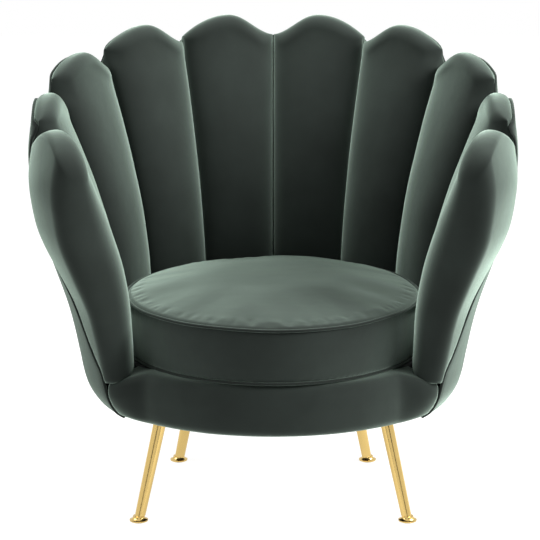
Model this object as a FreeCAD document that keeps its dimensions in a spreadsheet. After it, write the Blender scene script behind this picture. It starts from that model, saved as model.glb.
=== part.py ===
"""A scalloped tub chair: ten velvet petals on a bent-wood shell, a loose round cushion and four brass legs.

Row frame in millimetres: +Z is up, the chair faces -Y, +X is to the right as seen from the front, and the
origin lies on the floor under the middle of the chair. Angles round the tub are measured from the back,
positive towards +X.
"""

import math
import os

import FreeCAD
import Part
import Sketcher
from FreeCAD import Placement, Rotation, Vector

DIMENSIONS = [
    ("tub_axis_y", -85.0, "place of the tub's upright axis, behind the origin when it is above zero"),
    ("petal_angle", 25.0, "angle that each petal takes round the tub"),
    ("base_bottom", 185.0, "height of the underside of the upholstery"),
    ("base_height", 98.0, "height of the deck over the underside"),
    ("back_height", 568.0, "height of the two middle petals over the deck"),
    ("rear_drop", 10.0, "how much lower the second pair of petals is"),
    ("wing_drop", 34.0, "how much lower the third pair is than the second"),
    ("side_drop", 50.0, "how much lower the fourth pair is than the third"),
    ("arm_drop", 37.0, "how much lower the arms are than the fourth pair"),
    ("shell_low_radius", 364.0, "outside radius of the shell level with the deck"),
    ("shell_flare", 88.0, "how much wider the shell is near the petal tips"),
    ("shell_turn", 64.0, "how far the outer cover turns under at its foot"),
    ("pad_low", 77.0, "depth of a petal from its crest to the back, at the deck"),
    ("pad_high", 64.0, "depth of a petal from its crest to the back, near the tips"),
    ("groove_low", 52.0, "depth behind the grooves at the deck"),
    ("groove_high", 24.0, "depth behind the grooves at their tops"),
    ("top_inset", 9.0, "how far the outer cover ends under the petal's edge"),
    ("skin", 5.0, "velvet and wadding of the outer cover"),
    ("soft_gap", 0.4, "clearance between neighbouring soft or curved pieces"),
    ("stave_thickness", 4.0, "bent plywood behind each petal"),
    ("rib_depth", 16.0, "radial depth of the upright ribs"),
    ("rib_width", 18.0, "thickness of the plywood of the ribs"),
    ("frame_gap", 1.0, "clearance between ribs and outer cover"),
    ("front_set", 108.0, "how far the axis of the front rail's curve lies behind the tub's axis"),
    ("front_bow", 26.0, "how much larger the front rail's radius is than the shell's"),
    ("front_setback", 2.1, "angle by which the front rail's cover ends before the arm's cover"),
    ("rail_foam", 17.5, "foam and velvet on the front rail"),
    ("rail_angle", 80.0, "angle that the wooden front rail spans"),
    ("ply", 18.0, "thickness of the base ring, seat ring and front rail"),
    ("base_edge", 2.0, "how far the base ring stands out over the cover's turned-under foot"),
    ("base_width", 152.0, "width of the base ring"),
    ("deck_edge", 19.0, "how far the seat ring's rim stays behind the petal crests"),
    ("seat_ring_width", 46.0, "width of the seat ring"),
    ("frame_rise", 6.0, "height of the frame over the underside of the upholstery"),
    ("deck_pad", 14.0, "thickness of the felt and foam on the webbing"),
    ("web_width", 50.0, "width of a webbing strap"),
    ("web_thickness", 2.0, "thickness of a webbing strap"),
    ("web_pitch", 80.0, "distance between the middles of neighbouring straps"),
    ("web_bearing", 10.0, "how far a strap reaches over the seat ring"),
    ("cushion_gap", 8.0, "clearance between the loose cushion and the petal crests"),
    ("cushion_border", 101.0, "height of the cushion's border"),
    ("cushion_crown", 31.0, "rise of the cushion's top over its border"),
    ("cushion_skin", 2.0, "velvet and wadding of the cushion's panels"),
    ("cushion_bulge", 3.0, "how far the border swells between its seams"),
    ("welt_radius", 3.0, "radius of the piping"),
    ("zip_angle", 80.0, "angle that the zip spans at the back of the cushion"),
    ("zip_width", 12.0, "width of the zip tape"),
    ("zip_thickness", 1.4, "how far the zip tape stands out"),
    ("slider_length", 14.0, "length of the zip slider"),
    ("slider_thickness", 2.4, "thickness of the zip slider"),
    ("pull_length", 24.0, "length of the zip pull"),
    ("pull_width", 6.0, "width of the zip pull"),
    ("pull_thickness", 1.2, "thickness of the zip pull"),
    ("front_leg_angle", 126.4, "angle round the tub of a front leg's plate"),
    ("front_leg_inset", 46.0, "how far a front leg's plate centre is in from the base ring's rim"),
    ("front_leg_lean", 41.0, "how far a front leg's foot stands out from its plate, each way"),
    ("rear_leg_angle", 50.6, "angle round the tub of a rear leg's plate"),
    ("rear_leg_inset", 106.6, "how far a rear leg's plate centre is in from the base ring's rim"),
    ("rear_leg_lean", 36.0, "how far a rear leg's foot stands out from its plate, each way"),
    ("leg_top_radius", 12.0, "radius of a leg at its plate"),
    ("leg_foot_radius", 9.4, "radius of a leg at its foot"),
    ("leg_wall", 1.6, "wall of the leg tube"),
    ("foot_flare", 6.2, "how far the flared foot's rim stands out from its neck"),
    ("foot_rim", 2.2, "height of the foot's rim"),
    ("foot_height", 9.0, "height of the flared foot over its glide"),
    ("foot_neck", 1.4, "how far the foot's neck stands out from its leg"),
    ("glide_inset", 3.5, "how far the nylon glide stays in from the foot's rim"),
    ("glide_height", 1.6, "height of the glide under the foot"),
    ("plate_rim", 10.0, "how far a leg's mounting plate reaches past the leg"),
    ("plate_thickness", 4.0, "thickness of the mounting plate"),
    ("screw_setback", 4.6, "how far the screws stay in from the plate's rim"),
    ("screw_radius", 2.0, "shank radius of a plate screw"),
    ("screw_head_radius", 3.6, "head radius of a plate screw"),
    ("screw_head_height", 1.6, "height of a plate screw's head"),
    ("screw_gap", 0.2, "clearance round a plate screw's shank"),
    ("screw_length", 14.0, "length of a plate screw's shank over the plate"),
    ("dust_cover", 1.0, "thickness of the black cloth under the seat"),
    ("overrun", 60.0, "how far a cutting shape runs past what it cuts"),
]

SIDES = (("left", -1), ("right", 1))
PETALS = ("back", "rear", "wing", "side", "arm")
SCALLOP_STEPS = 6

# Stations up a petal, as shares of the height from the deck to the petal's tip.
STATION_SHARES = (0.0, 0.20, 0.40, 0.60, 0.78, 0.925, 0.950, 0.975, 0.990, 1.0)
FLARE_SHARES = (0.0, 0.22, 0.545, 0.90, 1.0, 0.91, 0.90, 0.89, 0.88, 0.87)
CREST_SHARES = (0.0, 0.02, 0.14, 0.40, 0.72, 1.00, 1.08, 1.17, 1.25, 1.36)
VALLEY_SHARES = (0.0, 0.08, 0.25, 0.49, 0.75, 0.97, 0.99, 1.0, 1.01, 1.02)
WIDTH_SHARES = (1.0, 1.0, 1.0, 1.0, 1.0, 0.97, 0.75, 0.51, 0.33, 0.12)
NOTCH_SHARE = 0.925
SCALLOP_BELL_SHARE = 0.3
LEG_REACH_SHARE = 1.12
FOOT_SWEEP_SHARES = (0.35, 0.3)
STRAP_SHARES = (-1.5, -0.5, 0.5, 1.5)
RAIL_FACE_SHARES = ((0.0, 0.01), (0.6, 0.04), (1.0, 0.25), (0.97, 0.61), (0.6, 0.93), (-0.2, 0.99))
CROWN_STEP_SHARES = ((0.93, 0.42), (0.80, 0.68), (0.42, 0.912))
CROWN_FLAT_SHARE = 0.1
CROWN_EDGE_SHARE = 0.04
ARM_RIB_SETBACK = 3.0
SLIDER_SETBACK = 2.0
CROWN_SHARES = (0.62, 0.90)

document = FreeCAD.newDocument("tub_chair")
sheet = document.addObject("Spreadsheet::Sheet", "Sizes")
for row, (alias, value, meaning) in enumerate(DIMENSIONS, start=1):
    sheet.set("A%d" % row, meaning)
    sheet.set("B%d" % row, str(value))
    sheet.setAlias("B%d" % row, alias)
document.recompute()
size = {alias: float(sheet.get(alias)) for alias, value, meaning in DIMENSIONS}

finished = []


class Dim:
    """A length that is read from the sheet: its value, and the expression that an object is bound to."""

    def __init__(self, value, text):
        self.value = value
        self.text = text

    def __add__(self, other):
        return Dim(self.value + value_of(other), "(%s + %s)" % (self.text, text_of(other)))

    def __sub__(self, other):
        return Dim(self.value - value_of(other), "(%s - %s)" % (self.text, text_of(other)))

    def __mul__(self, other):
        return Dim(self.value * value_of(other), "%s * %s" % (self.text, text_of(other)))

    def __truediv__(self, other):
        return Dim(self.value / value_of(other), "%s / %s" % (self.text, text_of(other)))


def value_of(term):
    return term.value if isinstance(term, Dim) else float(term)


def text_of(term):
    return term.text if isinstance(term, Dim) else repr(float(term))


cell = {alias: Dim(value, "Sizes." + alias) for alias, value in size.items()}
NOTHING = Dim(0.0, "0")


def derive(name, length):
    """Names a length that follows from others, so that it is written once."""
    cell[name] = length
    size[name] = length.value


derive("seat_top", cell["base_bottom"] + cell["base_height"])
derive("tip_back", cell["seat_top"] + cell["back_height"])
derive("tip_rear", cell["tip_back"] - cell["rear_drop"])
derive("tip_wing", cell["tip_rear"] - cell["wing_drop"])
derive("tip_side", cell["tip_wing"] - cell["side_drop"])
derive("tip_arm", cell["tip_side"] - cell["arm_drop"])
derive("shell_high_radius", cell["shell_low_radius"] + cell["shell_flare"])
derive("shell_foot_radius", cell["shell_low_radius"] - cell["shell_turn"])
derive("crest_low_radius", cell["shell_low_radius"] - cell["pad_low"])
derive("crest_high_radius", cell["shell_high_radius"] - cell["pad_high"])
derive("valley_low_radius", cell["shell_low_radius"] - cell["groove_low"])
derive("valley_high_radius", cell["shell_high_radius"] - cell["groove_high"])
derive("front_axis_y", cell["tub_axis_y"] + cell["front_set"])
derive("front_radius", cell["shell_low_radius"] + cell["front_bow"])
derive("base_radius", cell["shell_foot_radius"] + cell["base_edge"])
derive("seat_radius", cell["crest_low_radius"] - cell["deck_edge"])
derive("seat_bore", cell["seat_radius"] - cell["seat_ring_width"])
derive("cushion_radius", cell["crest_low_radius"] - cell["cushion_gap"])
derive("foot_radius", cell["leg_foot_radius"] + cell["foot_neck"] + cell["foot_flare"])
derive("plate_radius", cell["leg_top_radius"] + cell["plate_rim"])
derive("deck_low", cell["seat_top"] - cell["soft_gap"] - cell["deck_pad"])


def keep(obj, label):
    """Names a finished sub-part, which is written to its own file."""
    obj.Label = label
    finished.append(obj)
    return obj


def put_shape(name, shape):
    """A document object that holds a shape made with Part's own functions."""
    obj = document.addObject("Part::Feature", name)
    obj.Shape = shape
    return obj


def bind(obj, **lengths):
    """Binds an object's properties to lengths from the sheet."""
    for name, length in lengths.items():
        obj.setExpression(name, length.text)
    return obj


def place(obj, x=NOTHING, y=NOTHING, z=NOTHING):
    """Binds an object's place to lengths from the sheet."""
    for axis, length in (("x", x), ("y", y), ("z", z)):
        obj.setExpression("Placement.Base." + axis, length.text)
    return obj


def cylinder(name, radius, height, x=NOTHING, y=NOTHING, z=NOTHING):
    obj = document.addObject("Part::Cylinder", name)
    return place(bind(obj, Radius=radius, Height=height), x, y, z)


def box(name, length, width, height, x, y, z):
    obj = document.addObject("Part::Box", name)
    return place(bind(obj, Length=length, Width=width, Height=height), x, y, z)


def cone(name, low, high, height):
    obj = document.addObject("Part::Cone", name)
    return bind(obj, Radius1=low, Radius2=high, Height=height)


def cut(name, base, tool):
    obj = document.addObject("Part::Cut", name)
    obj.Base = base
    obj.Tool = tool
    return obj


def common(name, *shapes):
    obj = document.addObject("Part::MultiCommon", name)
    obj.Shapes = list(shapes)
    return obj


def group(name, shapes):
    """Several like solids as one sub-part."""
    obj = document.addObject("Part::Compound", name)
    obj.Links = list(shapes)
    return obj


def origin_plane(body, role):
    return next(item for item in body.Origin.OriginFeatures if item.Role == role)


def pin_point(sketch, geometry, position, x, y):
    """Ties a sketch point to the sheet. Coordinates are never negative, and zero ties it to an axis."""
    for dim, kind, axis in ((x, "DistanceX", -2), (y, "DistanceY", -1)):
        if dim.value == 0:
            sketch.addConstraint(Sketcher.Constraint("PointOnObject", geometry, position, axis))
        else:
            count = sketch.addConstraint(Sketcher.Constraint(kind, -1, 1, geometry, position, dim.value))
            sketch.setExpression("Constraints[%d]" % count, dim.text)


def draw_outline(sketch, steps):
    """Draws a closed outline. A step is a corner, or a corner and a point that the arc to it passes."""
    corners = [step[0] for step in steps]
    for index, step in enumerate(steps):
        start = Vector(corners[index - 1][0].value, corners[index - 1][1].value, 0)
        end = Vector(step[0][0].value, step[0][1].value, 0)
        if len(step) == 1:
            line = sketch.addGeometry(Part.LineSegment(start, end), False)
            first, last = 1, 2
        else:
            middle = Vector(step[1][0].value, step[1][1].value, 0)
            forwards = (middle - start).cross(end - middle).z > 0
            ends = (start, end) if forwards else (end, start)
            line = sketch.addGeometry(Part.Arc(ends[0], middle, ends[1]), False)
            first, last = (1, 2) if forwards else (2, 1)
            mark = sketch.addGeometry(Part.Point(middle), True)
            pin_point(sketch, mark, 1, step[1][0], step[1][1])
            sketch.addConstraint(Sketcher.Constraint("PointOnObject", mark, 1, line))
        pin_point(sketch, line, last, step[0][0], step[0][1])
        previous = corners[index - 1]
        pin_point(sketch, line, first, previous[0], previous[1])


def turned_body(name, steps, angle=None, turn=None):
    """A body that is turned round its own upright axis from an outline of radii and heights."""
    body = document.addObject("PartDesign::Body", name)
    sketch = body.newObject("Sketcher::SketchObject", name + "_outline")
    sketch.AttachmentSupport = [(origin_plane(body, "XZ_Plane"), "")]
    sketch.MapMode = "FlatFace"
    draw_outline(sketch, steps)
    turned = body.newObject("PartDesign::Revolution", name + "_turned")
    turned.Profile = sketch
    turned.ReferenceAxis = (sketch, ["V_Axis"])
    if angle is None:
        turned.Angle = 360.0
    else:
        turned.setExpression("Angle", angle.text)
        turned.Midplane = True
    if turn is not None:
        body.Placement = Placement(Vector(), Rotation(Vector(0, 0, 1), turn))
    sketch.Visibility = False
    return body


def tub_point(angle, radius, height):
    """A point of the tub, by its angle from the back, its radius and its height."""
    turn = math.radians(angle)
    return Vector(radius * math.sin(turn), size["tub_axis_y"] + radius * math.cos(turn), height)


def between(low, high, share):
    return low + (high - low) * share


# The shell: one height profile per petal, shifted inwards for every layer behind the outer cover

# Below the deck the cover rolls under: shares of the height and radius there, and the slope of its normal.
ROLL_SHARES = ((0.0, 0.0, 90.0), (0.05, 0.27, 60.0), (0.19, 0.57, 33.0), (0.52, 0.85, 12.0))


def tip_height(row):
    return size["tip_" + PETALS[row]]


def station_height(row, share):
    return between(size["seat_top"], tip_height(row), share)


def shell_profile(row, inset, upper_share=1.0, roll=True):
    """Radii and heights up the back of one petal, at an inset from the outside of its cover."""
    points = []
    if roll:
        for height_share, radius_share, slope in ROLL_SHARES:
            radius = between(size["shell_foot_radius"], size["shell_low_radius"], radius_share)
            height = between(size["base_bottom"], size["seat_top"], height_share)
            lean = math.radians(slope)
            points.append((radius - inset * math.cos(lean), height + inset * math.sin(lean)))
    for share, flare in zip(STATION_SHARES, FLARE_SHARES):
        if share <= upper_share:
            radius = between(size["shell_low_radius"], size["shell_high_radius"], flare)
            points.append((radius - inset, station_height(row, share)))
    return points


def radial_face(angle, points):
    """A face in the upright plane at an angle round the tub, through a list of radii and heights."""
    corners = [tub_point(angle, radius, height) for radius, height in points]
    return Part.Face(Part.makePolygon(corners + corners[:1]))


def swept(face_angle, sweep, points):
    """The face at face_angle, turned back towards the smaller angles by sweep."""
    axis = Vector(0, size["tub_axis_y"], 0)
    return radial_face(face_angle, points).revolve(axis, Vector(0, 0, 1), sweep)


def scallop_rise(part):
    """How far a scalloped top rises over its notches at a part of its half width: a bell mixed with a bow."""
    bow = math.cos(part * math.pi / 2)
    bell = (1 + math.cos(part * math.pi)) / 2
    return between(bow, bell, SCALLOP_BELL_SHARE)


def tongue(row, side, inset):
    """A radial prism under the scalloped top of one petal, lowered by an inset."""
    half = math.radians(size["petal_angle"] / 2)
    reach = size["shell_high_radius"]
    notch = station_height(row, NOTCH_SHARE)
    cap = tip_height(row) - notch
    top = []
    for step in range(-SCALLOP_STEPS, SCALLOP_STEPS + 1):
        part = step / SCALLOP_STEPS
        top.append((part * reach * math.tan(half), notch + cap * scallop_rise(part) - inset))
    wide = top[-1][0] + size["overrun"]
    low = size["base_bottom"] - size["overrun"]
    corners = [(wide, top[-1][1]), (wide, low), (-wide, low), (-wide, top[0][1])]
    middle = (row + 0.5) * size["petal_angle"] * side
    turn = Rotation(Vector(0, 0, 1), -middle)

    def lay(point):
        return turn.multVec(Vector(point[0], 0, point[1])) + Vector(0, size["tub_axis_y"], 0)

    outline = [lay(point) for point in top + corners]
    outward = turn.multVec(Vector(0, reach + size["overrun"], 0))
    return Part.Face(Part.makePolygon(outline + outline[:1])).extrude(outward)


# The arm's cover stops short of its front end, where the piping and the petal's own rounded end take over.
ARM_COVER_SHARE = 0.40
ARM_WRAP_SHARE = 0.56


def cover_span(row):
    """The angles that the outer cover of one petal spans, as positive angles."""
    low = row * size["petal_angle"]
    high = low + size["petal_angle"]
    if PETALS[row] == "arm":
        high = low + size["petal_angle"] * (0.5 + ARM_COVER_SHARE / 2)
    return low, high


def gap_angle(radius):
    return math.degrees(size["soft_gap"] / 2 / radius)


def cover_layer(row, side, outer_inset, inner_inset, top_inset, upper_share=1.0, roll=True, spare=0.0):
    """A layer of the shell behind one petal, cut to the petal's scalloped top."""
    low, high = cover_span(row)
    low += gap_angle(size["shell_low_radius"]) - spare
    high -= gap_angle(size["shell_low_radius"]) - spare
    outer = shell_profile(row, outer_inset, upper_share, roll)
    inner = shell_profile(row, inner_inset, upper_share, roll)
    start = high if side > 0 else -low
    layer = swept(start, high - low, outer + inner[::-1])
    return layer.common(tongue(row, side, top_inset))


def outer_cover(row, side):
    return cover_layer(row, side, 0.0, size["skin"], size["top_inset"])


STAVE_TOP_SHARE = 0.78


def stave(row, side):
    """The bent plywood behind one petal, from the deck to just under the grooves' tops."""
    front = size["skin"] + size["frame_gap"] + size["rib_depth"] + size["soft_gap"]
    return cover_layer(
        row, side, front, front + size["stave_thickness"], size["top_inset"], STAVE_TOP_SHARE, roll=False
    )


def depth_share(part):
    """How far a round crown falls back towards the groove, at a part of its half width."""
    return 1 - math.sqrt(1 - part * part)


def petal_section(row, side, index):
    """One level outline of a petal: its back, its sides and its crown, as arcs and lines."""
    share = STATION_SHARES[index]
    height = station_height(row, share)
    outer = between(size["shell_low_radius"], size["shell_high_radius"], FLARE_SHARES[index])
    crest = between(size["crest_low_radius"], size["crest_high_radius"], CREST_SHARES[index])
    valley = between(size["valley_low_radius"], size["valley_high_radius"], VALLEY_SHARES[index])
    middle = (row + 0.5) * size["petal_angle"]
    half = (size["petal_angle"] / 2) * WIDTH_SHARES[index] - gap_angle(crest)

    def at(part, radius):
        return tub_point(side * (middle + part * half), radius, height)

    def crown(part):
        return at(part, between(crest, valley, depth_share(abs(part))))

    shoulder, bend = CROWN_SHARES
    far_side = [
        Part.Arc(crown(shoulder), at(0, crest), crown(-shoulder)),
        Part.Arc(crown(-shoulder), crown(-bend), at(-1, valley)),
        Part.LineSegment(at(-1, valley), at(-1, outer)),
    ]
    if PETALS[row] == "arm":
        wrap = ARM_WRAP_SHARE
        near_side = [Part.Arc(at(wrap, outer), at(1, between(crest, outer, 0.5)), crown(shoulder))]
    else:
        wrap = 1
        near_side = [
            Part.LineSegment(at(wrap, outer), at(1, valley)),
            Part.Arc(at(1, valley), crown(bend), crown(shoulder)),
        ]
    back = [Part.Arc(at(-1, outer), at((wrap - 1) / 2, outer), at(wrap, outer))]
    return Part.Wire([edge.toShape() for edge in back + near_side + far_side])


def arm_welt(side, radius):
    """The piping between an arm's petal and its outer cover, from the underside to the petal's top."""
    row = PETALS.index("arm")
    start, edge = cover_span(row)
    beside = (size["welt_radius"] + size["soft_gap"]) / size["shell_low_radius"]
    angle = side * (edge + math.degrees(beside))
    points = shell_profile(row, size["welt_radius"] / 2, NOTCH_SHARE)[1:]
    path = [tub_point(angle, reach, height) for reach, height in points]
    rings = []
    for index, point in enumerate(path):
        before = path[max(index - 1, 0)]
        after = path[min(index + 1, len(path) - 1)]
        rings.append(Part.Wire(Part.Circle(point, after - before, radius).toShape()))
    return Part.makeLoft(rings, True, True)


def petal(row, side):
    """One padded petal, hollowed at the back for the stave, the ribs and the outer cover."""
    sections = [petal_section(row, side, index) for index in range(len(STATION_SHARES))]
    solid = Part.makeLoft(sections, True, True)
    frame = size["skin"] + size["frame_gap"] + size["rib_depth"] + size["stave_thickness"]
    pocket_inset = frame + 2 * size["soft_gap"]
    lid_inset = size["skin"] + size["soft_gap"]
    top_inset = size["top_inset"] - size["soft_gap"]
    room = cover_layer(row, side, -size["overrun"], pocket_inset, top_inset, STAVE_TOP_SHARE, spare=1.0)
    lid = cover_layer(row, side, -size["overrun"], lid_inset, top_inset, spare=1.0)
    rooms = [room, lid]
    if PETALS[row] == "arm":
        rooms.append(arm_welt(side, size["welt_radius"] + size["soft_gap"]))
    return solid.cut(rooms)


def radius_at(profile, height):
    """The radius of a profile at a height, between its stations."""
    for (low_radius, low), (high_radius, high) in zip(profile, profile[1:]):
        if low <= height <= high:
            return between(low_radius, high_radius, (height - low) / (high - low))
    return profile[-1][0]


def rib(angle, rows, top):
    """An upright plywood rib that clears the layers of both neighbouring petals, notched at the deck."""
    outside = size["skin"] + size["frame_gap"]
    profiles = [shell_profile(row, outside) for row in rows]
    floor_height = size["base_bottom"] + size["frame_rise"] + size["ply"]
    ledge = size["seat_top"] - size["soft_gap"]
    inner_radius = size["seat_radius"] + size["soft_gap"]
    every_height = {height for profile in profiles for radius, height in profile}
    heights = sorted(height for height in every_height if floor_height < height < top)

    def reach(height, choose):
        return choose(radius_at(profile, height) for profile in profiles)

    outer = [(reach(height, min), height) for height in [floor_height] + heights + [top]]
    downwards = [height for height in [top] + heights[::-1] if height > ledge] + [ledge]
    inner = [(reach(height, max) - size["rib_depth"], height) for height in downwards]
    inner += [(inner_radius, ledge), (inner_radius, floor_height)]
    face = radial_face(angle, outer + inner)
    across = Rotation(Vector(0, 0, 1), -angle).multVec(Vector(size["rib_width"], 0, 0))
    face.translate(across * -0.5)
    return face.extrude(across)


def front_cylinder(name, radius, height, z):
    """A round limit about the axis of the front rail's curve."""
    return cylinder(name, radius, height, y=cell["front_axis_y"], z=z)


def tub_ring(name, outside, bore, height, z, front):
    """A ring about the tub's axis, cut off at the front along the front rail's curve."""
    tub_y = cell["tub_axis_y"]
    disc = cylinder(name + "_disc", outside, height, y=tub_y, z=z)
    limit = front_cylinder(name + "_limit", front, height, z)
    plan = common(name + "_plan", disc, limit)
    if bore is None:
        return plan
    return cut(name, plan, cylinder(name + "_bore", bore, height, y=tub_y, z=z))


def strap(name, offset, along, reach, front, z):
    """One webbing strap across or along the seat, ending on the seat ring."""
    half = cell["web_width"] / 2
    x, length, y, width = (offset - half, cell["web_width"], cell["tub_axis_y"] - reach, reach * 2)
    if not along:
        middle = cell["tub_axis_y"] + offset
        x, length, y, width = (NOTHING - reach, reach * 2, middle - half, cell["web_width"])
    plank = box(name + "_plank", length, width, cell["web_thickness"], x, y, z)
    disc = cylinder(name + "_disc", reach, cell["web_thickness"], y=cell["tub_axis_y"], z=z)
    limit = front_cylinder(name + "_limit", front, cell["web_thickness"], z)
    return common(name, plank, disc, limit)


def leg_places():
    """The four legs: name, foot, top and lean of each, as lengths from the sheet."""
    places = []
    for side_name, side in SIDES:
        for end, outward in (("front", -1), ("rear", 1)):
            angle = cell[end + "_leg_angle"]
            lean = cell[end + "_leg_lean"]
            reach = cell["base_radius"] - cell[end + "_leg_inset"]
            turn = math.radians(angle.value)
            x = reach * Dim(math.sin(turn), "sin(%s)" % angle.text)
            y = cell["tub_axis_y"] + reach * Dim(math.cos(turn), "cos(%s)" % angle.text)
            foot = ((x + lean) * side, y + lean * outward)
            places.append(("%s_%s" % (end, side_name), foot, (x * side, y), lean))
    return places


def leg_cone(name, foot, top, lean, rise, inset):
    """A slanted, tapered round bar from the floor under a foot to above the leg's plate."""
    along = Vector(top[0].value - foot[0].value, top[1].value - foot[1].value, rise.value)
    length = Dim(along.Length, "sqrt(2 * %s * %s + %s * %s)" % (lean.text, lean.text, rise.text, rise.text))
    low = cell["leg_foot_radius"] - inset
    high = low + (cell["leg_top_radius"] - cell["leg_foot_radius"]) * LEG_REACH_SHARE
    bar = cone(name, low, high, length * LEG_REACH_SHARE)
    bar.Placement = Placement(Vector(), Rotation(Vector(0, 0, 1), along))
    return place(bar, foot[0], foot[1])


def leg(name, foot, top, lean):
    """A brass leg tube, cut level under its plate and over its foot."""
    low = cell["glide_height"] + cell["foot_height"]
    rise = cell["base_bottom"] + cell["frame_rise"] - cell["plate_thickness"]
    bars = [leg_cone(name + bar, foot, top, lean, rise, inset) for bar, inset in (
        ("_outside", NOTHING), ("_inside", cell["leg_wall"])
    )]
    tube = cut(name + "_tube", bars[0], bars[1])
    slab = cylinder(name + "_slab", cell["overrun"] * 2, rise - low, foot[0], foot[1], low)
    return common(name, tube, slab)


def foot_body(name, foot):
    """A flared, polished foot: a rimmed disc that sweeps up to the leg."""
    low = cell["glide_height"]
    rim = low + cell["foot_rim"]
    top = low + cell["foot_height"]
    neck = cell["leg_foot_radius"] + cell["foot_neck"]
    middle = neck + (cell["foot_radius"] - neck) * FOOT_SWEEP_SHARES[0]
    middle_height = rim + (top - rim) * FOOT_SWEEP_SHARES[1]
    body = turned_body(name, [
        ((cell["foot_radius"], low),),
        ((cell["foot_radius"], rim),),
        ((neck, top), (middle, middle_height)),
        ((NOTHING, top),),
        ((NOTHING, low),),
    ])
    return place(body, foot[0], foot[1])


def plate_points(top, radius):
    """Four places on a circle round a leg's top, on the diagonals."""
    step = radius * math.sqrt(0.5)
    return [(top[0] + step * x, top[1] + step * y) for x in (-1, 1) for y in (-1, 1)]


def screw(name, x, y, z):
    """A pan-head plate screw, driven upwards."""
    depth = cell["screw_head_height"]
    length = cell["screw_length"] + cell["plate_thickness"]
    shank = cylinder(name + "_shank", cell["screw_radius"], length, x, y, z)
    head = cylinder(name + "_head", cell["screw_head_radius"], depth, x, y, z - depth)
    fused = document.addObject("Part::MultiFuse", name)
    fused.Shapes = [head, shank]
    return fused


# The shell: petals, outer covers, staves, arm piping and ribs

staves = []
for row, place_name in enumerate(PETALS):
    for side_name, side in SIDES:
        name = "%s_%s" % (place_name, side_name)
        keep(put_shape("petal_" + name, petal(row, side)), "petal_" + name)
        keep(put_shape("outer_cover_" + name, outer_cover(row, side)), "outer_cover_" + name)
        staves.append(put_shape("stave_" + name, stave(row, side)))
keep(group("staves_group", staves), "staves")
for side_name, side in SIDES:
    piping = put_shape("arm_welt_" + side_name, arm_welt(side, size["welt_radius"]))
    keep(piping, "arm_welt_" + side_name)

# A rib stands behind every groove and behind the arm's front edge, as high as the lower petal's stave.
ribs = [put_shape("rib_middle", rib(0.0, [0], station_height(0, STAVE_TOP_SHARE)))]
for side_name, side in SIDES:
    for row in range(1, len(PETALS)):
        angle = side * row * size["petal_angle"]
        top = station_height(row, STAVE_TOP_SHARE)
        ribs.append(put_shape("rib_%d_%s" % (row, side_name), rib(angle, [row - 1, row], top)))
    arm = PETALS.index("arm")
    angle = side * (cover_span(arm)[1] - ARM_RIB_SETBACK)
    ribs.append(put_shape("rib_arm_" + side_name, rib(angle, [arm], station_height(arm, STAVE_TOP_SHARE))))
keep(group("ribs_group", ribs), "ribs")

# The base: plywood ring under the shell, seat ring, wooden front rail and its cover

floor = cell["base_bottom"] + cell["frame_rise"]
frame_front = cell["front_radius"] - cell["rail_foam"]
base_bore = cell["base_radius"] - cell["base_width"]
base = tub_ring("base", cell["base_radius"], base_bore, cell["ply"], floor, frame_front)
screw_circle = cell["plate_radius"] - cell["screw_setback"]
bores = []
screws = []
for name, foot, top, lean in leg_places():
    plate_low = floor - cell["plate_thickness"]
    for index, (x, y) in enumerate(plate_points(top, screw_circle)):
        label = "%s_%d" % (name, index)
        bore_radius = cell["screw_radius"] + cell["screw_gap"]
        run = cell["overrun"]
        bores.append(cylinder("bore_" + label, bore_radius, run * 2, x, y, floor - run))
        screws.append(screw("screw_" + label, x, y, plate_low))
bore_group = group("plate_bores", bores)
keep(cut("base_drilled", base, bore_group), "base_ring")
keep(group("screws_group", screws), "plate_screws")

seat_ring_low = cell["deck_low"] - cell["soft_gap"] - cell["web_thickness"] * 2 - cell["ply"]
rail_back = frame_front - cell["ply"]
ring_front = rail_back - cell["soft_gap"]
seat_radius = cell["seat_radius"]
ring = tub_ring("seat_ring_cut", seat_radius, cell["seat_bore"], cell["ply"], seat_ring_low, ring_front)
keep(ring, "seat_ring")

rail_low = floor + cell["ply"]
rail_high = seat_ring_low + cell["ply"]
wooden_rail = turned_body("wooden_rail_body", [
    ((frame_front, rail_low),),
    ((frame_front, rail_high),),
    ((rail_back, rail_high),),
    ((rail_back, rail_low),),
], cell["rail_angle"], -90)
keep(place(wooden_rail, y=cell["front_axis_y"]), "front_rail_frame")

# The rail's cover wraps the wooden rail from its underside over the front to the top, and ends by the arms.
arm_edge = math.radians(cover_span(PETALS.index("arm"))[1])
edge_x = size["shell_low_radius"] * math.sin(arm_edge)
edge_y = size["front_set"] - size["shell_low_radius"] * math.cos(arm_edge)
cover_angle = (math.degrees(math.atan2(edge_x, edge_y)) - size["front_setback"]) * 2
bottom = cell["base_bottom"]
face = cell["front_radius"]
top = cell["seat_top"] - cell["soft_gap"]
clear = frame_front + cell["soft_gap"]
over = rail_high + cell["soft_gap"]
under = floor - cell["soft_gap"]
lip = rail_back + cell["soft_gap"] * 5
hem = rail_back - cell["rail_foam"] / 2
rail_height = top - bottom


def rail_front(radius_share, height_share):
    """A point of the rail's rounded face, by shares of its foam's depth and of its height."""
    return (frame_front + cell["rail_foam"] * radius_share, bottom + rail_height * height_share)


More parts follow.
